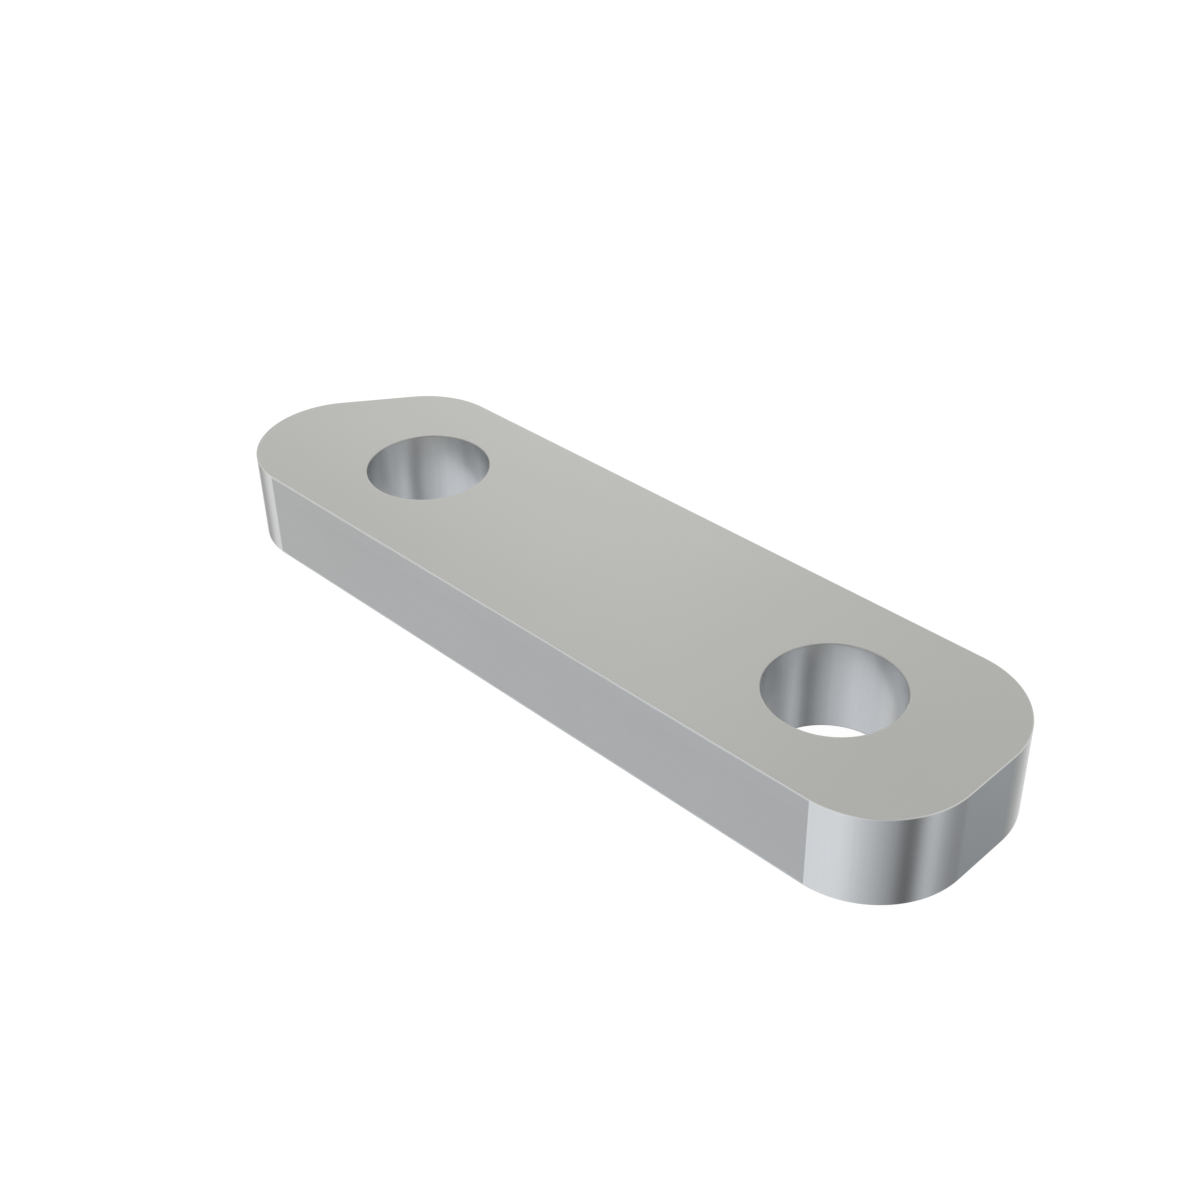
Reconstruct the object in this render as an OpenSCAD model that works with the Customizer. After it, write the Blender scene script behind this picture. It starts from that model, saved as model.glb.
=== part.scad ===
// Rear axle support spacer: one flat plate with two through holes. One end is
// square across, the other is cut off at a slant, and all four corners share
// one radius. X runs along the plate towards the square end, Z is up through
// the thickness, and the origin lies on the underside, midway between the holes.

/* [Plate] */
// Width of the plate across its two long sides
plate_w = 25.4; // [20:0.1:40]
// Thickness of the plate, which is the gap that it fills
plate_t = 9.7; // [4:0.1:25]
// Radius of the four corners of the outline
corner_r = 9.5; // [4:0.1:12.5]
// Rounding of every edge, round the outline and at the mouths of the holes
edge_r = 0.1; // [0.05:0.05:1]

/* [Ends] */
// From the middle of the second hole to the square end
square_reach = 16.5; // [12:0.1:40]
// From the middle of the first hole to the slanted end, along the centre line
slant_reach = 19.8; // [15:0.1:40]
// How much shorter the far side is than the near one, because of the slant
slant_cut = 19.05; // [0:0.05:25]

/* [Holes] */
// Diameter of the two bolt holes
hole_d = 13; // [6:0.1:18]
// Distance between the middles of the two holes
hole_spacing = 54.8; // [35:0.1:120]

/* [Hidden] */
$fn = 128;

// How far a cutting shape runs past the surface that it cuts, and how far
// the wedges round the corners run past that
overrun = 1;
wedge_overrun = 2 * overrun;
wedge_reach = 3 * (corner_r + overrun);

square_end_x = hole_spacing / 2 + square_reach;
slant_mid_x = -(hole_spacing / 2 + slant_reach);

// How far the middles of the corners lie off the centre line
corner_y = plate_w / 2 - corner_r;

// The slanted end: its length from long side to long side, its angle to
// them, and the x of a corner's middle at y, one radius inside it
slant_length = norm([slant_cut, plate_w]);
slant_angle = atan2(plate_w, slant_cut);
function slant_corner_x(y) = slant_mid_x + (corner_r * slant_length + slant_cut * y) / plate_w;

// The four corners, counter-clockwise from the square end: x and y of the
// middle, the angle where the arc starts and the angle through which it turns
square_turn = 90;
CORNERS = [
    [square_end_x - corner_r, corner_y, 0, square_turn],
    [slant_corner_x(corner_y), corner_y, 90, slant_angle],
    [slant_corner_x(-corner_y), -corner_y, 90 + slant_angle, 180 - slant_angle],
    [square_end_x - corner_r, -corner_y, 270, square_turn]
];

function middle(corner) = [corner[0], corner[1]];
function arc_start(corner) = corner[2];
function arc_end(corner) = corner[2] + corner[3];
function on_arc(corner, angle) = middle(corner) + corner_r * [cos(angle), sin(angle)];
function start_point(corner) = on_arc(corner, arc_start(corner));
function end_point(corner) = on_arc(corner, arc_end(corner));

// The whole outline: discs at the corners, joined by the straight sides
// that run tangent from one arc to the next
module outline() {
    for (corner = CORNERS)
        translate(middle(corner)) circle(r = corner_r);
    polygon([for (corner = CORNERS) each [start_point(corner), end_point(corner)]]);
}

// Section of what the rounding takes off one sharp edge, with the solid at
// the lower left and its sharp edge at zero
module edge_waste() {
    difference() {
        translate([-edge_r, -edge_r]) square(edge_r + overrun);
        translate([-edge_r, -edge_r]) circle(r = edge_r);
    }
}

// The same for the upper and the lower edge of a wall of the plate
module wall_waste() {
    translate([0, plate_t]) edge_waste();
    mirror([0, 1]) edge_waste();
}

// A wedge with its point at the origin, between two angles
module wedge(from_angle, to_angle, reach) {
    middle_angle = (from_angle + to_angle) / 2;
    polygon([
        [0, 0],
        for (angle = [from_angle, middle_angle, to_angle])
            reach * [cos(angle), sin(angle)]
    ]);
}

// Rounds the edges along the arc of one corner: a full ring of waste, kept
// only inside the wedge that the arc spans
module corner_waste(corner) {
    translate(middle(corner))
        intersection() {
            rotate_extrude() translate([corner_r, 0]) wall_waste();
            translate([0, 0, -wedge_overrun])
                linear_extrude(height = plate_t + 2 * wedge_overrun)
                    wedge(arc_start(corner), arc_end(corner), wedge_reach);
        }
}

// Rounds the edges along the straight side from one corner to the next: the
// section stands upright, faces out of the wall and is drawn back along it
module side_waste(corner, next_corner) {
    side_start = end_point(corner);
    side_end = start_point(next_corner);
    translate(side_end)
        rotate([90, 0, arc_start(next_corner)])
            linear_extrude(height = norm(side_end - side_start)) wall_waste();
}

// One bolt hole, right through and with both mouths rounded
module bolt_hole() {
    rotate_extrude() {
        translate([0, -overrun]) square([hole_d / 2, plate_t + 2 * overrun]);
        translate([hole_d / 2, 0]) mirror([1, 0]) wall_waste();
    }
}

module spacer_plate() {
    color([0.72, 0.72, 0.7])
        difference() {
            linear_extrude(height = plate_t) outline();
            for (i = [0:len(CORNERS) - 1]) {
                corner_waste(CORNERS[i]);
                side_waste(CORNERS[i], CORNERS[(i + 1) % len(CORNERS)]);
            }
            for (side = [-1, 1])
                translate([side * hole_spacing / 2, 0, 0]) bolt_hole();
        }
}

spacer_plate();
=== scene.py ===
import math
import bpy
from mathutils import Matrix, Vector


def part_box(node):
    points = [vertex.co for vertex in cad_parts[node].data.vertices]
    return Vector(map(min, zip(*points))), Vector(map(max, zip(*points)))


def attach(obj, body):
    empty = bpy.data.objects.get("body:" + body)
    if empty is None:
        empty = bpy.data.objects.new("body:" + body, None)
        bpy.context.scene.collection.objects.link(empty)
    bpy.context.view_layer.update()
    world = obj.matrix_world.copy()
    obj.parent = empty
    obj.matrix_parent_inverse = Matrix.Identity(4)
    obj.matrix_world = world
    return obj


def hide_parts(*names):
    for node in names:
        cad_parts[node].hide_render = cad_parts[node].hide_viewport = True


bl_info = {
    "name": "Rear axle support spacer",
    "version": (1, 0, 0),
    "blender": (4, 5, 0),
    "location": "View3D > Sidebar > Spacer",
    "description": "Builds the spacer plate with its finishes, and a plain studio round it",
    "category": "Add Mesh",
}

import bmesh
import bpy
from mathutils import Matrix, Vector

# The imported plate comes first, because the sizes below start from it
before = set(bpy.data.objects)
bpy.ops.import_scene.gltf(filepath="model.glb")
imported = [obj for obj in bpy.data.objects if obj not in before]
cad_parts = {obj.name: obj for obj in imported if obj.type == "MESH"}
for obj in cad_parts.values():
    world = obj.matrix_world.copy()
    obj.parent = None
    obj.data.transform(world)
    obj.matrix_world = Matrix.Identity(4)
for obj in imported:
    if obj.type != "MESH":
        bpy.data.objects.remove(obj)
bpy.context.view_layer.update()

CAD_NODE = "spacer_plate"
BODY = "root"
PLATE_NAME = "spacer_plate_machined"

MM = 0.001
PER_MM = 1.0 / MM

plate_low, plate_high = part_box(CAD_NODE)

# How finely the plate is meshed
ARC_STEP = math.radians(2.5)
STRAIGHT_STEP = 2.0 * MM
ROUNDING_STEPS = 6
# A length this share of a step too long still counts as whole steps
STEP_SLACK = 1e-6
# Rings beside every edge, so that wear can be painted by distance from it
EDGE_RINGS = (0.2 * MM, 0.5 * MM, 1.1 * MM, 2.2 * MM)
EDGE_GAP = "edge_gap"
# The cutter that rounds the corners only bites in this many arc steps after
# the end of each straight side, which keeps its own finish up to there
SKIN_STEPS = 1
# Painted highlight: the mouths of the holes take the brighter broken-edge finish
# on this side of their middles, towards the camera, as far round as this either
# way, and elsewhere they look like the hole's wall
HIGHLIGHT_SIDE = math.radians(310.0)
HIGHLIGHT_REACH = math.radians(75.0)

# The finishes of the plate, in the order of its material slots
GROUND_FACE, BAR_SIDE, MILLED_WALL, SQUARE_END, REAMED_BORE, BROKEN_EDGE = range(6)


class SpacerSizes(bpy.types.PropertyGroup):
    """Sizes of the plate"""

    width: bpy.props.FloatProperty(
        name="Width",
        description="Width of the plate across its two long sides",
        default=plate_high.y - plate_low.y,
        unit="LENGTH",
    )
    thickness: bpy.props.FloatProperty(
        name="Thickness",
        description="Thickness of the plate",
        default=plate_high.z - plate_low.z,
        unit="LENGTH",
    )
    corner_radius: bpy.props.FloatProperty(
        name="Corner radius",
        description="Radius of the four corners of the outline",
        default=9.5 * MM,
        unit="LENGTH",
    )
    edge_radius: bpy.props.FloatProperty(
        name="Edge rounding",
        description="Rounding of every edge, round the outline and at the mouths of the holes",
        default=0.1 * MM,
        unit="LENGTH",
    )
    square_reach: bpy.props.FloatProperty(
        name="Square end",
        description="From the middle of the second hole to the square end",
        default=16.5 * MM,
        unit="LENGTH",
    )
    slant_reach: bpy.props.FloatProperty(
        name="Slanted end",
        description="From the middle of the first hole to the slanted end, along the centre line",
        default=19.8 * MM,
        unit="LENGTH",
    )
    slant_cut: bpy.props.FloatProperty(
        name="Slant",
        description="How much shorter the far side is than the near one",
        default=19.05 * MM,
        unit="LENGTH",
    )
    hole_diameter: bpy.props.FloatProperty(
        name="Hole diameter",
        description="Diameter of the two bolt holes",
        default=13.0 * MM,
        unit="LENGTH",
    )
    hole_spacing: bpy.props.FloatProperty(
        name="Hole spacing",
        description="Distance between the middles of the two holes",
        default=54.8 * MM,
        unit="LENGTH",
    )


class SpacerFinish(bpy.types.PropertyGroup):
    """Colours and smoothness of the plate's metal"""

    metal: bpy.props.FloatVectorProperty(
        name="Metal",
        description="Colour of the freshly cut steel",
        default=(0.66, 0.66, 0.66),
        subtype="COLOR",
        size=3,
    )
    bar_skin: bpy.props.FloatVectorProperty(
        name="Bar skin",
        description="Colour of the two long sides, which keep the duller skin of the bar",
        default=(0.45, 0.445, 0.442),
        subtype="COLOR",
        size=3,
    )
    end_metal: bpy.props.FloatVectorProperty(
        name="End metal",
        description="Colour of the square end, a little bluer than the other walls",
        default=(0.667, 0.69, 0.7),
        subtype="COLOR",
        size=3,
    )
    bore_metal: bpy.props.FloatVectorProperty(
        name="Bore metal",
        description="Colour of the walls of the holes, a little darker than the outside",
        default=(0.557, 0.561, 0.565),
        subtype="COLOR",
        size=3,
    )
    face_roughness: bpy.props.FloatProperty(
        name="Face roughness",
        description="Roughness of the ground top and underside",
        default=0.29,
        subtype="FACTOR",
    )
    side_roughness: bpy.props.FloatProperty(
        name="Side roughness",
        description="Roughness of the two long sides",
        default=0.36,
        subtype="FACTOR",
    )
    wall_roughness: bpy.props.FloatProperty(
        name="Wall roughness",
        description="Roughness of the milled corners and ends",
        default=0.16,
        subtype="FACTOR",
    )
    bore_roughness: bpy.props.FloatProperty(
        name="Bore roughness",
        description="Roughness of the walls of the holes",
        default=0.278,
        subtype="FACTOR",
    )


class SpacerStage(bpy.types.PropertyGroup):
    """Studio round the plate"""

    surround: bpy.props.FloatVectorProperty(
        name="Surround",
        description="Colour of the soft light that comes from all sides",
        default=(1.0, 1.0, 1.0),
        subtype="COLOR",
        size=3,
    )
    floor_shade: bpy.props.FloatProperty(
        name="Floor shade",
        description="Share of the floor's look that the plate's shadow can darken",
        default=0.09,
        subtype="FACTOR",
    )
    lens: bpy.props.FloatProperty(
        name="Lens",
        description="Focal length of the camera",
        default=50.0,
        unit="CAMERA",
    )
    camera_place: bpy.props.FloatVectorProperty(
        name="Camera",
        description="Where the camera stands",
        default=(94.28 * MM, -94.22 * MM, 101.86 * MM),
        subtype="XYZ",
        unit="LENGTH",
        size=3,
        precision=5,
    )
    camera_turn: bpy.props.FloatProperty(
        name="Camera turn",
        description="How far the camera stands round from the front",
        default=math.radians(45.528),
        subtype="ANGLE",
    )
    camera_rise: bpy.props.FloatProperty(
        name="Camera rise",
        description="How far the camera looks down",
        default=math.radians(35.796),
        subtype="ANGLE",
    )
    camera_roll: bpy.props.FloatProperty(
        name="Camera roll",
        description="How far the camera is tipped about its own axis",
        default=math.radians(-1.307),
        subtype="ANGLE",
    )


# The plate's mesh


def unit(angle):
    """Direction in the plane of the plate at an angle."""
    return Vector((math.cos(angle), math.sin(angle)))


def steps_over(length, step):
    """How many equal steps no longer than step cover a length."""
    return max(1, math.ceil(length / step - STEP_SLACK))


def outline_stations(sizes):
    """Stations round the plate, counter-clockwise.

    Each has its place, the outward direction, and the finishes of the wall
    and of its edges as far as the next station."""
    half_width = sizes.width / 2
    corner_y = half_width - sizes.corner_radius
    square_x = sizes.hole_spacing / 2 + sizes.square_reach - sizes.corner_radius
    slant_mid = -(sizes.hole_spacing / 2 + sizes.slant_reach)
    slant_length = math.hypot(sizes.slant_cut, sizes.width)
    slant_angle = math.atan2(sizes.width, sizes.slant_cut)

    def slant_x(y):
        return slant_mid + (sizes.corner_radius * slant_length + sizes.slant_cut * y) / sizes.width

    quarter = math.pi / 2
    # Middle of each corner, where its arc starts, how far that turns, and the
    # finish of the straight side that follows
    corners = (
        (Vector((square_x, corner_y)), 0.0, quarter, BAR_SIDE),
        (Vector((slant_x(corner_y), corner_y)), quarter, slant_angle, MILLED_WALL),
        (
            Vector((slant_x(-corner_y), -corner_y)),
            quarter + slant_angle,
            math.pi - slant_angle,
            BAR_SIDE,
        ),
        (Vector((square_x, -corner_y)), 3 * quarter, quarter, SQUARE_END),
    )
    stations = []
    for number, (middle, start, turn, straight_finish) in enumerate(corners):
        arc_steps = steps_over(turn, ARC_STEP)
        finishes = [MILLED_WALL] * arc_steps
        finishes[:SKIN_STEPS] = [corners[number - 1][-1]] * SKIN_STEPS
        finishes[-SKIN_STEPS:] = [straight_finish] * SKIN_STEPS
        for step, finish in enumerate(finishes):
            out = unit(start + turn * step / arc_steps)
            stations.append((middle + sizes.corner_radius * out, out, finish, BROKEN_EDGE))
        out = unit(start + turn)
        here = middle + sizes.corner_radius * out
        there = corners[(number + 1) % len(corners)][0] + sizes.corner_radius * out
        straight_steps = steps_over((there - here).length, STRAIGHT_STEP)
        for step in range(straight_steps):
            place = here.lerp(there, step / straight_steps)
            stations.append((place, out, straight_finish, BROKEN_EDGE))
    return stations


def bore_stations(sizes, side):
    """Stations round a hole, clockwise, with the outward directions towards its middle."""
    middle = Vector((side * sizes.hole_spacing / 2, 0.0))
    count = steps_over(2 * math.pi, ARC_STEP)
    stations = []
    for step in range(count):
        away = unit(-2 * math.pi * step / count)
        # Painted highlight: on the side towards the camera the mouth takes the brighter broken-edge
        # finish
        painted_highlight = away.dot(unit(HIGHLIGHT_SIDE)) > math.cos(HIGHLIGHT_REACH)
        mouth_finish = BROKEN_EDGE if painted_highlight else REAMED_BORE
        stations.append((middle + sizes.hole_diameter / 2 * away, -away, REAMED_BORE, mouth_finish))
    return stations


def wall_section(sizes):
    """Section through a wall, from the underside to the top.

    Each point has its offset and height, its normal outwards and upwards, its
    gap to the nearest edge, and the finish as far as the next point, which is
    None where it is the wall's own."""
    radius = sizes.edge_radius
    half = sizes.thickness / 2
    rounding = []
    for step in range(ROUNDING_STEPS + 1):
        angle = math.pi / 2 * step / ROUNDING_STEPS
        out, up = math.cos(angle), math.sin(angle)
        finish = BROKEN_EDGE if step < ROUNDING_STEPS else GROUND_FACE
        rounding.append((radius * (out - 1), half + radius * (up - 1), out, up, 0.0, finish))
    wall = [(0.0, half - radius - gap, 1.0, 0.0, gap, None) for gap in reversed(EDGE_RINGS)]
    face = [(-radius - gap, half, 0.0, 1.0, gap, GROUND_FACE) for gap in EDGE_RINGS]
    upper = wall + rounding + face
    lower = [
        (offset, -height, out, -up, gap) for offset, height, out, up, gap, _ in reversed(upper)
    ]
    # Mirrored, each ring's finish is that of the one after it
    finishes = [finish for *_, finish in reversed(upper)]
    lower = [ring + (finish,) for ring, finish in zip(lower, finishes[1:] + [None])]
    return [(offset, half + height, *rest) for offset, height, *rest in lower + upper]


def sweep_wall(mesh, stations, section, normals, gaps):
    """Carries the section round the stations, and returns its lower and upper open loops."""
    rings = []
    for place, outward, *_ in stations:
        ring = []
        for offset, height, out, up, gap, _ in section:
            point = place + outward * offset
            vert = mesh.verts.new((point.x, point.y, height))
            normals.append(Vector((outward.x * out, outward.y * out, up)))
            gaps.append(gap)
            ring.append(vert)
        rings.append(ring)
    for number, ring in enumerate(rings):
        following = rings[(number + 1) % len(rings)]
        wall_finish, edge_finish = stations[number][2:]
        for level in range(len(section) - 1):
            over = level + 1
            face = mesh.faces.new((ring[level], following[level], following[over], ring[over]))
            finish = section[level][-1]
            if finish is None:
                finish = wall_finish
            elif finish == BROKEN_EDGE:
                finish = edge_finish
            face.material_index = finish
    return [ring[0] for ring in rings], [ring[-1] for ring in rings]


def close_face(mesh, loops, up):
    """Fills the flat face between the outline's loop and the holes' loops."""
    edges = []
    for loop in loops:
        for number, vert in enumerate(loop):
            edges.append(mesh.edges.get((vert, loop[(number + 1) % len(loop)])))
    filled = bmesh.ops.triangle_fill(mesh, use_beauty=True, edges=edges, normal=(0.0, 0.0, up))
    faces = [item for item in filled["geom"] if isinstance(item, bmesh.types.BMFace)]
    # Every point adds a triangle and every hole two, less two in all
    expected = sum(len(loop) for loop in loops) + 2 * (len(loops) - 1) - 2
    if len(faces) != expected:
        raise RuntimeError(f"a flat face has {len(faces)} triangles and needs {expected}")
    for face in faces:
        face.material_index = GROUND_FACE
        face.normal_update()
        if face.normal.z * up < 0:
            face.normal_flip()


def plate_mesh(sizes):
    """The plate as one closed mesh, with exact normals and each point's gap to the nearest edge."""
    mesh = bmesh.new()
    normals = []
    gaps = []
    section = wall_section(sizes)
    walls = [outline_stations(sizes), bore_stations(sizes, -1), bore_stations(sizes, 1)]
    open_loops = [sweep_wall(mesh, stations, section, normals, gaps) for stations in walls]
    close_face(mesh, [low for low, _ in open_loops], -1.0)
    close_face(mesh, [high for _, high in open_loops], 1.0)
    loose = [edge for edge in mesh.edges if not edge.is_manifold]
    if loose:
        raise RuntimeError(f"the plate's mesh has {len(loose)} open edges")
    data = bpy.data.meshes.new(PLATE_NAME)
    mesh.to_mesh(data)
    mesh.free()
    data.polygons.foreach_set("use_smooth", [True] * len(data.polygons))
    data.normals_split_custom_set_from_vertices(normals)
    gap_layer = data.attributes.new(EDGE_GAP, "FLOAT", "POINT")
    gap_layer.data.foreach_set("value", gaps)
    return data


# Shared effects, as node groups

# Sockets of the Mix node that are used when it mixes colours
MIX_SHARE, MIX_FIRST, MIX_SECOND = 0, 6, 7
MIX_RESULT = 2

# Noise gives values around this one
NOISE_MIDDLE = 0.5
FINE_LINES = {"scale": 1.0, "detail": 2.0, "roughness": 0.6}
COARSE_LINES = {"scale": 0.21, "detail": 1.0, "roughness": 0.5}
CLOUD = {"detail": 3.0, "roughness": 0.5}
WEAR_PATCHES = {"scale": 0.45, "detail": 2.0, "roughness": 0.6}

# Wear patches as a share of the wear's reach, stretched to about 0 to 1
PATCH_STRETCH = 2.0
PATCH_SHIFT = NOISE_MIDDLE * (1.0 - PATCH_STRETCH)
# The wear's least reach, in millimetres
LEAST_REACH = 0.02
LEAST_ROUGHNESS = 0.05


def new_group(name, inputs, outputs):
    """Empty shader node group with named sockets; an input is (kind, name, default)."""
    group = bpy.data.node_groups.new(name, "ShaderNodeTree")
    for kind, label, default in inputs:
        socket = group.interface.new_socket(label, in_out="INPUT", socket_type=kind)
        socket.default_value = default
    for kind, label in outputs:
        group.interface.new_socket(label, in_out="OUTPUT", socket_type=kind)
    entry = group.nodes.new("NodeGroupInput")
    leave = group.nodes.new("NodeGroupOutput")
    return group, entry.outputs, leave.inputs


def feed(tree, socket, value):
    """Links a socket, or sets it where the value is a number or a colour."""
    if isinstance(value, bpy.types.NodeSocket):
        tree.links.new(value, socket)
    else:
        socket.default_value = value


def maths(tree, operation, *values, clamp=False):
    """Math node on numbers and sockets."""
    node = tree.nodes.new("ShaderNodeMath")
    node.operation = operation
    node.use_clamp = clamp
    for socket, value in zip(node.inputs, values):
        feed(tree, socket, value)
    return node.outputs[0]


def vector_maths(tree, operation, *values, output="Vector"):
    """Vector Math node on vectors and sockets."""
    node = tree.nodes.new("ShaderNodeVectorMath")
    node.operation = operation
    for socket, value in zip(node.inputs, values):
        feed(tree, socket, value)
    return node.outputs[output]


def remap(tree, value, low, high, new_low=0.0, new_high=1.0):
    """Map Range node, smooth at both ends."""
    node = tree.nodes.new("ShaderNodeMapRange")
    node.interpolation_type = "SMOOTHSTEP"
    node.clamp = True
    for label, given in (
        ("Value", value),
        ("From Min", low),
        ("From Max", high),
        ("To Min", new_low),
        ("To Max", new_high),
    ):
        feed(tree, node.inputs[label], given)
    return node.outputs["Result"]


def noise(tree, vector, scale, detail, roughness):
    """Noise texture, as a value around a half."""
    node = tree.nodes.new("ShaderNodeTexNoise")
    node.noise_dimensions = "3D"
    for label, given in (
        ("Vector", vector),
        ("Scale", scale),
        ("Detail", detail),
        ("Roughness", roughness),
    ):
        feed(tree, node.inputs[label], given)
    return node.outputs["Fac"]


def mix_colours(tree, share, first, second):
    """Mix node on colours."""
    node = tree.nodes.new("ShaderNodeMix")
    node.data_type = "RGBA"
    node.clamp_factor = True
    feed(tree, node.inputs[MIX_SHARE], share)
    feed(tree, node.inputs[MIX_FIRST], first)
    feed(tree, node.inputs[MIX_SECOND], second)
    return node.outputs[MIX_RESULT]


def mix_shaders(tree, share, first, second):
    """Mix Shader node."""
    node = tree.nodes.new("ShaderNodeMixShader")
    for socket, value in zip(node.inputs, (share, first, second)):
        feed(tree, socket, value)
    return node.outputs[0]


def millimetres(tree):
    """Object coordinates in millimetres."""
    place = tree.nodes.new("ShaderNodeTexCoord").outputs["Object"]
    return vector_maths(tree, "MULTIPLY", place, (PER_MM,) * 3)


def tool_lines_group():
    """Fine lines that a cutter, a belt or a die leaves: noise drawn out along one direction."""
    group, given, result = new_group(
        "Tool lines",
        [
            ("NodeSocketVector", "Lines per mm", (0.02, 4.0, 4.0)),
            ("NodeSocketFloat", "Coarse share", 0.4),
        ],
        [("NodeSocketFloat", "Lines")],
    )
    across = vector_maths(group, "MULTIPLY", millimetres(group), given["Lines per mm"])
    fine = noise(group, across, **FINE_LINES)
    coarse = noise(group, across, **COARSE_LINES)
    difference = maths(group, "SUBTRACT", coarse, fine)
    both = maths(group, "MULTIPLY_ADD", difference, given["Coarse share"], fine)
    feed(group, result["Lines"], both)
    return group


def clouding_group():
    """Slow, uneven change of a surface that has been handled, oiled and wiped."""
    group, given, result = new_group(
        "Clouding",
        [("NodeSocketFloat", "Patches per mm", 0.1)],
        [("NodeSocketFloat", "Cloud")],
    )
    place = millimetres(group)
    feed(group, result["Cloud"], noise(group, place, given["Patches per mm"], **CLOUD))
    return group


def edge_wear_and_rim_shade_group():
    """Share of wear beside an edge, and of painted shade at the mouths of the holes: strongest at
    the edge, uneven along it.
    """
    group, given, result = new_group(
        "Edge wear and rim shade",
        [
            ("NodeSocketFloat", "Reach", 0.6),
            ("NodeSocketFloat", "Unevenness", 0.6),
        ],
        [("NodeSocketFloat", "Wear")],
    )
    layer = group.nodes.new("ShaderNodeAttribute")
    layer.attribute_name = EDGE_GAP
    gap = maths(group, "MULTIPLY", layer.outputs["Fac"], PER_MM)
    place = millimetres(group)
    patches = noise(group, place, **WEAR_PATCHES)
    spread = maths(group, "MULTIPLY_ADD", patches, PATCH_STRETCH, PATCH_SHIFT)
    uneven_reach = maths(group, "MULTIPLY", given["Reach"], spread)
    difference = maths(group, "SUBTRACT", uneven_reach, given["Reach"])
    reach = maths(group, "MULTIPLY_ADD", difference, given["Unevenness"], given["Reach"])
    safe_reach = maths(group, "MAXIMUM", reach, LEAST_REACH)
    feed(group, result["Wear"], remap(group, gap, 0.0, safe_reach, 1.0, 0.0))
    return group


def worked_metal_group():
    """Puts the effects together into the colour, roughness and height of worked metal."""
    group, given, result = new_group(
        "Worked metal",
        [
            ("NodeSocketColor", "Metal", (0.66, 0.66, 0.66, 1.0)),
            ("NodeSocketColor", "Wear and rim shade metal", (0.75, 0.75, 0.75, 1.0)),
            ("NodeSocketFloat", "Lines", 0.5),
            ("NodeSocketFloat", "Line contrast", 0.1),
            ("NodeSocketFloat", "Line height", 0.0003),
            ("NodeSocketFloat", "Cloud", 0.5),
            ("NodeSocketFloat", "Cloud contrast", 0.1),
            ("NodeSocketFloat", "Wear", 0.0),
            ("NodeSocketFloat", "Roughness", 0.25),
            ("NodeSocketFloat", "Roughness swing", 0.1),
        ],
        [
            ("NodeSocketColor", "Colour"),
            ("NodeSocketFloat", "Roughness"),
            ("NodeSocketFloat", "Height"),
        ],
    )
    centred_lines = maths(group, "SUBTRACT", given["Lines"], NOISE_MIDDLE)
    centred_cloud = maths(group, "SUBTRACT", given["Cloud"], NOISE_MIDDLE)
    line_shade = maths(group, "MULTIPLY", centred_lines, given["Line contrast"])
    shade = maths(group, "MULTIPLY_ADD", centred_cloud, given["Cloud contrast"], line_shade)
    level = maths(group, "ADD", shade, 1.0)
    shaded = vector_maths(group, "SCALE", given["Metal"])
    feed(group, shaded.node.inputs["Scale"], level)
    feed(group, result["Colour"], mix_colours(group, given["Wear"], shaded, given["Wear and rim shade metal"]))

    swing = maths(group, "SUBTRACT", centred_cloud, centred_lines)
    rough = maths(group, "MULTIPLY_ADD", swing, given["Roughness swing"], given["Roughness"])
    feed(group, result["Roughness"], maths(group, "MAXIMUM", rough, LEAST_ROUGHNESS))
    feed(group, result["Height"], maths(group, "MULTIPLY", given["Lines"], given["Line height"]))
    return group


def build_effects():
    """All shared effects, made once."""
    return {
        "lines": tool_lines_group(),
        "cloud": clouding_group(),
        "wear": edge_wear_and_rim_shade_group(),
        "metal": worked_metal_group(),
    }


def place_group(tree, group, values):
    """Puts a group into a material and sets or links its inputs."""
    node = tree.nodes.new("ShaderNodeGroup")
    node.node_tree = group
    for label, value in values.items():
        feed(tree, node.inputs[label], value)
    return node.outputs


# The plate's finishes

# Lines per millimetre along X, Y and Z: the top and underside are ground
# lengthwise, the bar's sides are drawn, and the cutters leave upright lines
GROUND_LINES = (0.02, 2.2, 2.2)
DRAWN_LINES = (0.03, 5.0, 5.0)
UPRIGHT_LINES = (3.2, 3.2, 0.05)

# How bright these are beside the metal that they belong to
WORN_SHARE = 1.08
BROKEN_EDGE_SHARE = 0.96
# Painted shade: the line round the mouths of the holes is painted darker than the hole's wall by
# this share
RIM_SHADE_SHARE = 0.6


def scaled(colour, share):
    """Colour made brighter or darker by a share."""
    return tuple(min(1.0, share * part) for part in colour)


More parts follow.
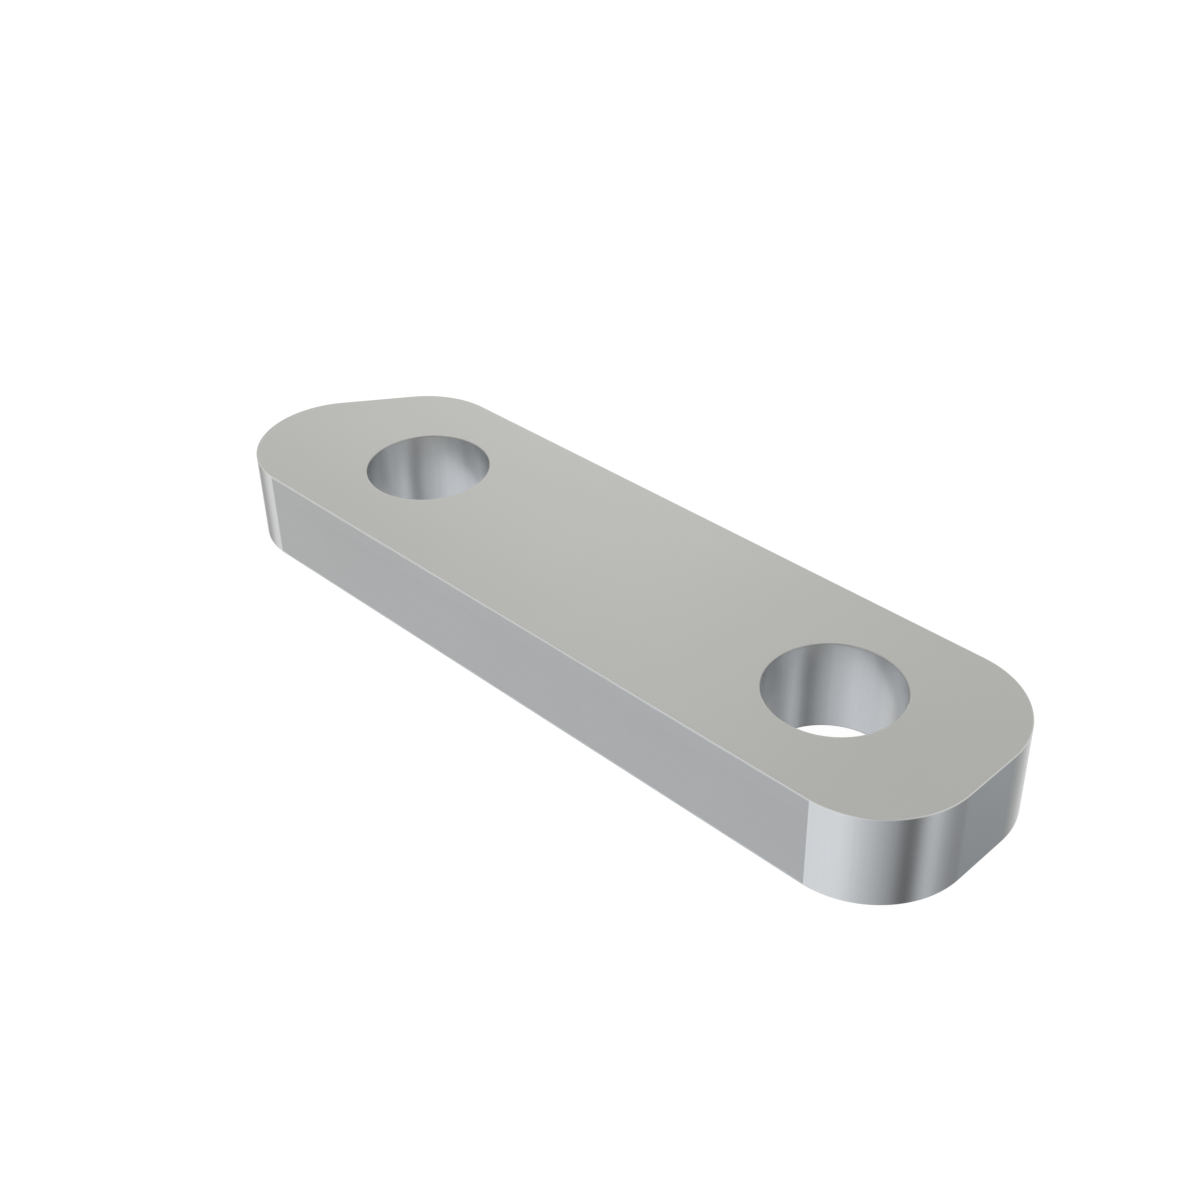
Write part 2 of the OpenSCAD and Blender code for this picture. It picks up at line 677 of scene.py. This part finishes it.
def finish_material(name, effects, look):
    """Metal material with the shared effects, each with this finish's own values."""
    material = bpy.data.materials.new(name)
    material.use_nodes = True
    tree = material.node_tree
    shader = tree.nodes["Principled BSDF"]
    lines = place_group(
        tree,
        effects["lines"],
        {"Lines per mm": look["lines_per_mm"], "Coarse share": look["coarse_share"]},
    )
    cloud = place_group(tree, effects["cloud"], {"Patches per mm": look["patches_per_mm"]})
    wear = place_group(
        tree,
        effects["wear"],
        {"Reach": look["wear_reach"], "Unevenness": look["wear_unevenness"]},
    )
    wear_and_rim_shade = maths(tree, "MULTIPLY", wear["Wear"], look["wear_strength"])
    # Painted light: metal that is seen in other metal is painted brighter by this gain, standing in
    # for more light bounced between the walls
    base = (*look["metal"], 1.0)
    if look["painted_bounce_gain"] != 1.0:
        rays = tree.nodes.new("ShaderNodeLightPath").outputs
        brighter = scaled(look["metal"], look["painted_bounce_gain"])
        base = mix_colours(tree, rays["Is Glossy Ray"], base, (*brighter, 1.0))
    metal = place_group(
        tree,
        effects["metal"],
        {
            "Metal": base,
            "Wear and rim shade metal": (*look["wear_and_rim_shade_metal"], 1.0),
            "Lines": lines["Lines"],
            "Line contrast": look["line_contrast"],
            "Line height": look["line_height"],
            "Cloud": cloud["Cloud"],
            "Cloud contrast": look["cloud_contrast"],
            "Wear": wear_and_rim_shade,
            "Roughness": look["roughness"],
            "Roughness swing": look["roughness_swing"],
        },
    )
    shader.inputs["Metallic"].default_value = 1.0
    feed(tree, shader.inputs["Base Color"], metal["Colour"])
    feed(tree, shader.inputs["Roughness"], metal["Roughness"])
    if look["line_height"]:
        bump = tree.nodes.new("ShaderNodeBump")
        bump.inputs["Strength"].default_value = 1.0
        bump.inputs["Distance"].default_value = MM
        feed(tree, bump.inputs["Height"], metal["Height"])
        feed(tree, shader.inputs["Normal"], bump.outputs["Normal"])
    return material


def plate_finishes(finish):
    """The finishes, in the order of the plate's material slots."""
    common = {
        "metal": tuple(finish.metal),
        "wear_and_rim_shade_metal": scaled(finish.metal, WORN_SHARE),
        "coarse_share": 0.6,
        "patches_per_mm": 0.07,
        "cloud_contrast": 0.05,
        "wear_reach": 0.35,
        "wear_unevenness": 0.6,
        "wear_strength": 0.5,
        "painted_bounce_gain": 1.0,
        "line_height": 0.0001,
        "line_contrast": 0.06,
        "roughness_swing": 0.08,
    }
    milled = {
        "lines_per_mm": UPRIGHT_LINES,
        "roughness": finish.wall_roughness,
        "line_contrast": 0.1,
    }
    looks = {
        "Ground face": {
            "lines_per_mm": GROUND_LINES,
            "roughness": finish.face_roughness,
            "line_height": 0.0,
            "line_contrast": 0.012,
            "roughness_swing": 0.02,
            "cloud_contrast": 0.03,
            "wear_strength": 0.25,
        },
        "Bar side": {
            "metal": tuple(finish.bar_skin),
            "lines_per_mm": DRAWN_LINES,
            "roughness": finish.side_roughness,
            "patches_per_mm": 0.12,
            "cloud_contrast": 0.08,
        },
        "Milled wall": milled,
        "Square end": {**milled, "metal": tuple(finish.end_metal)},
        "Reamed bore": {
            "metal": tuple(finish.bore_metal),
            # Painted shade: a dark line round the mouths of the holes, spread from the edge like
            # the wear of the other finishes
            "wear_and_rim_shade_metal": scaled(finish.bore_metal, RIM_SHADE_SHARE),
            "lines_per_mm": UPRIGHT_LINES,
            "roughness": finish.bore_roughness,
            "line_height": 0.0,
            "line_contrast": 0.2,
            "roughness_swing": 0.0,
            # Painted light: the walls of the holes are painted brighter where they are seen in each
            # other
            "painted_bounce_gain": 1.2,
            "wear_reach": 0.2,
            "wear_strength": 0.45,
        },
        "Broken edge": {
            "metal": scaled(finish.metal, BROKEN_EDGE_SHARE),
            "lines_per_mm": DRAWN_LINES,
            "roughness": finish.wall_roughness,
            "wear_strength": 0.0,
        },
    }
    effects = build_effects()
    return [finish_material(name, effects, {**common, **look}) for name, look in looks.items()]


class SPACER_OT_plate(bpy.types.Operator):
    """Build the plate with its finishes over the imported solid"""

    bl_idname = "spacer.plate"
    bl_label = "Plate"

    def execute(self, context):
        scene = context.scene
        data = plate_mesh(scene.spacer_sizes)
        for material in plate_finishes(scene.spacer_finish):
            data.materials.append(material)
        plate = bpy.data.objects.new(PLATE_NAME, data)
        scene.collection.objects.link(plate)
        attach(plate, BODY)
        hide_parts(CAD_NODE)
        return {"FINISHED"}


# The stage

# Grey cards round the plate, which the metal mirrors as its darker bands, and
# one brighter panel. Each has the direction that it stands in (round from +X,
# and the sine of its height), how sharply it ends sideways and upwards, and
# how much light it takes away; a panel takes away less than nothing.
CARDS = (
    ("Narrow card", 348.4, -0.75, 34.0, 2.0, 0.74),
    ("Card beside it", 326.5, -0.75, 9.0, 3.5, 0.45),
    ("Wide card", 51.6, -0.75, 3.9, 3.0, 0.71),
    ("Left card", 172.5, -0.52, 22.0, 2.2, 0.56),
    ("Front band", 250.0, -0.58, 3.0, 7.0, 0.08),
    ("Bright panel", 267.0, -0.72, 18.0, 3.5, -0.09),
    ("Slim panel", 11.0, -0.7, 45.0, 2.0, -0.2),
    ("Floor card", 0.0, -1.0, 0.0, 6.0, 0.5),
    ("Overhead card", 122.0, 1.0, 0.4, 1.7, 0.21),
    ("Back card", 118.0, 0.67, 36.0, 6.0, 0.43),
    ("Left back card", 152.0, 0.85, 60.0, 2.6, 0.62),
    ("Camera card", 315.0, 0.55, 8.0, 2.2, 0.5),
)
# The light is a little warm from above, cool from below on the camera's side
# and plain from below elsewhere
COOL_LIGHT = (0.965, 1.005, 1.045, 1.0)
PLAIN_LIGHT = (0.99, 1.005, 0.993, 1.0)
WARM_LIGHT = (1.005, 1.004, 0.955, 1.0)
COOL_SIDE = (0.566, -0.566, -0.6)
# Heights, as sines, between which the light turns from cool or plain to warm,
# and how far a direction agrees with the cool side where plain turns to cool
WARM_FROM, WARM_TO = -0.3, 0.3
COOL_FROM, COOL_TO = 0.05, 0.35

WHITE = (1.0, 1.0, 1.0, 1.0)
FLOOR_HALF = 3.0
FLOOR_DROP = 0.02 * MM
FLOOR_WHITE = (0.9, 0.9, 0.9, 1.0)
# Makes up for the share of the floor that is lit rather than glowing
FLOOR_GLOW = 1.05
# The plate's shadow fades out between these distances, in millimetres. They
# are measured with the length along the plate scaled down, so that the shade
# is as long as the plate
SHADE_SHAPE = (0.6, 1.0, 0.0)
SHADE_NEAR = 32.0
SHADE_FAR = 60.0

# The camera's sensor in millimetres, and its range in metres
SENSOR_WIDTH = 36.0
CLIP_START = 0.005
CLIP_END = 20.0


def card_group():
    """How much of the surround's light is left in a direction, with a soft card standing in it."""
    group, given, result = new_group(
        "Soft card",
        [
            ("NodeSocketVector", "Direction", (0.0, 0.0, 1.0)),
            ("NodeSocketFloat", "Turn", 0.0),
            ("NodeSocketFloat", "Height", 0.0),
            ("NodeSocketFloat", "Side sharpness", 4.0),
            ("NodeSocketFloat", "Upright sharpness", 2.0),
            ("NodeSocketFloat", "Depth", 0.5),
        ],
        [("NodeSocketFloat", "Light left")],
    )
    flat = vector_maths(group, "MULTIPLY", given["Direction"], (1.0, 1.0, 0.0))
    length = vector_maths(group, "LENGTH", flat, output="Value")
    towards = group.nodes.new("ShaderNodeCombineXYZ")
    feed(group, towards.inputs["X"], maths(group, "COSINE", given["Turn"]))
    feed(group, towards.inputs["Y"], maths(group, "SINE", given["Turn"]))
    along = vector_maths(group, "DOT_PRODUCT", flat, towards.outputs["Vector"], output="Value")
    aside = maths(group, "SUBTRACT", along, length)
    side_fall = maths(group, "EXPONENT", maths(group, "MULTIPLY", aside, given["Side sharpness"]))
    parts = group.nodes.new("ShaderNodeSeparateXYZ")
    feed(group, parts.inputs["Vector"], given["Direction"])
    above = maths(group, "SUBTRACT", parts.outputs["Z"], given["Height"])
    sharpened = maths(group, "MULTIPLY", above, given["Upright sharpness"])
    squared = maths(group, "MULTIPLY", sharpened, sharpened)
    upright_fall = maths(group, "EXPONENT", maths(group, "MULTIPLY", squared, -1.0))
    cover = maths(group, "MULTIPLY", side_fall, upright_fall)
    taken = maths(group, "MULTIPLY", cover, given["Depth"])
    feed(group, result["Light left"], maths(group, "SUBTRACT", 1.0, taken))
    return group


def build_surround(scene, stage):
    """World: soft light from all sides past the cards, and plain white where the camera sees it."""
    world = bpy.data.worlds.new("Soft surround")
    world.use_nodes = True
    tree = world.node_tree
    tree.nodes.clear()
    direction = tree.nodes.new("ShaderNodeTexCoord").outputs["Generated"]
    card = card_group()
    light = 1.0
    for _, turn, height, side_sharpness, upright_sharpness, depth in CARDS:
        left = place_group(
            tree,
            card,
            {
                "Direction": direction,
                "Turn": math.radians(turn),
                "Height": height,
                "Side sharpness": side_sharpness,
                "Upright sharpness": upright_sharpness,
                "Depth": depth,
            },
        )["Light left"]
        light = maths(tree, "MULTIPLY", light, left)
    parts = tree.nodes.new("ShaderNodeSeparateXYZ")
    feed(tree, parts.inputs["Vector"], direction)
    rise = remap(tree, parts.outputs["Z"], WARM_FROM, WARM_TO)
    near = vector_maths(tree, "DOT_PRODUCT", direction, COOL_SIDE, output="Value")
    below = mix_colours(tree, remap(tree, near, COOL_FROM, COOL_TO), PLAIN_LIGHT, COOL_LIGHT)
    tint = mix_colours(tree, rise, below, WARM_LIGHT)
    lit = vector_maths(tree, "MULTIPLY", tint, tuple(stage.surround))
    shaded = vector_maths(tree, "SCALE", lit)
    feed(tree, shaded.node.inputs["Scale"], light)
    rays = tree.nodes.new("ShaderNodeLightPath").outputs
    light_side = tree.nodes.new("ShaderNodeBackground")
    feed(tree, light_side.inputs["Color"], shaded)
    camera_side = tree.nodes.new("ShaderNodeBackground")
    feed(tree, camera_side.inputs["Color"], WHITE)
    chosen = mix_shaders(tree, rays["Is Camera Ray"], light_side.outputs[0], camera_side.outputs[0])
    output = tree.nodes.new("ShaderNodeOutputWorld")
    feed(tree, output.inputs["Surface"], chosen)
    scene.world = world


def floor_material(stage):
    """Pale floor: white with a faint shadow to the camera, open to reflections and from below."""
    material = bpy.data.materials.new("Pale floor")
    material.use_nodes = True
    tree = material.node_tree
    tree.nodes.clear()
    rays = tree.nodes.new("ShaderNodeLightPath").outputs
    back = tree.nodes.new("ShaderNodeNewGeometry").outputs["Backfacing"]
    glow = tree.nodes.new("ShaderNodeEmission")
    feed(tree, glow.inputs["Color"], WHITE)
    feed(tree, glow.inputs["Strength"], FLOOR_GLOW)
    matt = tree.nodes.new("ShaderNodeBsdfDiffuse")
    feed(tree, matt.inputs["Color"], FLOOR_WHITE)
    clear = tree.nodes.new("ShaderNodeBsdfTransparent")
    place = vector_maths(tree, "MULTIPLY", millimetres(tree), SHADE_SHAPE)
    distance = vector_maths(tree, "LENGTH", place, output="Value")
    shade = remap(tree, distance, SHADE_NEAR, SHADE_FAR, stage.floor_shade, 0.0)
    shaded = mix_shaders(tree, shade, glow.outputs[0], matt.outputs[0])
    seen = maths(tree, "ADD", rays["Is Camera Ray"], rays["Is Transmission Ray"], clamp=True)
    shown = mix_shaders(tree, seen, matt.outputs[0], shaded)
    open_to = maths(tree, "MAXIMUM", rays["Is Glossy Ray"], back)
    output = tree.nodes.new("ShaderNodeOutputMaterial")
    feed(tree, output.inputs["Surface"], mix_shaders(tree, open_to, shown, clear.outputs[0]))
    return material


def build_floor(scene, stage):
    """Large flat floor just under the plate."""
    mesh = bmesh.new()
    corners = ((-1, -1), (1, -1), (1, 1), (-1, 1))
    height = plate_low.z - FLOOR_DROP
    mesh.faces.new([mesh.verts.new((x * FLOOR_HALF, y * FLOOR_HALF, height)) for x, y in corners])
    data = bpy.data.meshes.new("floor")
    mesh.to_mesh(data)
    mesh.free()
    data.materials.append(floor_material(stage))
    floor = bpy.data.objects.new("floor", data)
    scene.collection.objects.link(floor)


def build_camera(scene, stage):
    """Camera at the photograph's angle."""
    turn, rise, roll = stage.camera_turn, stage.camera_rise, stage.camera_roll
    back = Vector(
        (
            math.sin(turn) * math.cos(rise),
            -math.cos(turn) * math.cos(rise),
            math.sin(rise),
        )
    )
    level_right = Vector((math.cos(turn), math.sin(turn), 0.0))
    level_up = back.cross(level_right)
    right = level_right * math.cos(roll) + level_up * math.sin(roll)
    up = level_up * math.cos(roll) - level_right * math.sin(roll)
    lens = bpy.data.cameras.new("camera")
    lens.sensor_width = SENSOR_WIDTH
    lens.lens = stage.lens
    lens.clip_start = CLIP_START
    lens.clip_end = CLIP_END
    camera = bpy.data.objects.new("camera", lens)
    turned = Matrix((right, up, back)).transposed().to_4x4()
    camera.matrix_world = Matrix.Translation(Vector(stage.camera_place)) @ turned
    scene.collection.objects.link(camera)
    scene.camera = camera


class SPACER_OT_stage(bpy.types.Operator):
    """Set up the floor, the soft light and the camera"""

    bl_idname = "spacer.stage"
    bl_label = "Stage"

    def execute(self, context):
        scene = context.scene
        stage = scene.spacer_stage
        scene.view_settings.view_transform = "Standard"
        build_surround(scene, stage)
        build_floor(scene, stage)
        build_camera(scene, stage)
        return {"FINISHED"}


class SPACER_PT_panel(bpy.types.Panel):
    """Builders of the spacer, with the values that they use"""

    bl_idname = "SPACER_PT_panel"
    bl_label = "Rear axle support spacer"
    bl_space_type = "VIEW_3D"
    bl_region_type = "UI"
    bl_category = "Spacer"

    def draw(self, context):
        scene = context.scene
        for builder, groups in (
            (SPACER_OT_plate, (scene.spacer_sizes, scene.spacer_finish)),
            (SPACER_OT_stage, (scene.spacer_stage,)),
        ):
            box = self.layout.box()
            for group in groups:
                for name in group.__annotations__:
                    box.prop(group, name)
            box.operator(builder.bl_idname)


CLASSES = (
    SpacerSizes,
    SpacerFinish,
    SpacerStage,
    SPACER_OT_plate,
    SPACER_OT_stage,
    SPACER_PT_panel,
)
SETTINGS = {
    "spacer_sizes": SpacerSizes,
    "spacer_finish": SpacerFinish,
    "spacer_stage": SpacerStage,
}


def register():
    for cls in CLASSES:
        bpy.utils.register_class(cls)
    for name, group in SETTINGS.items():
        setattr(bpy.types.Scene, name, bpy.props.PointerProperty(type=group))


def unregister():
    for name in SETTINGS:
        delattr(bpy.types.Scene, name)
    for cls in reversed(CLASSES):
        bpy.utils.unregister_class(cls)


def main():
    register()
    bpy.ops.spacer.plate()
    bpy.ops.spacer.stage()


if __name__ == "__main__":
    main()
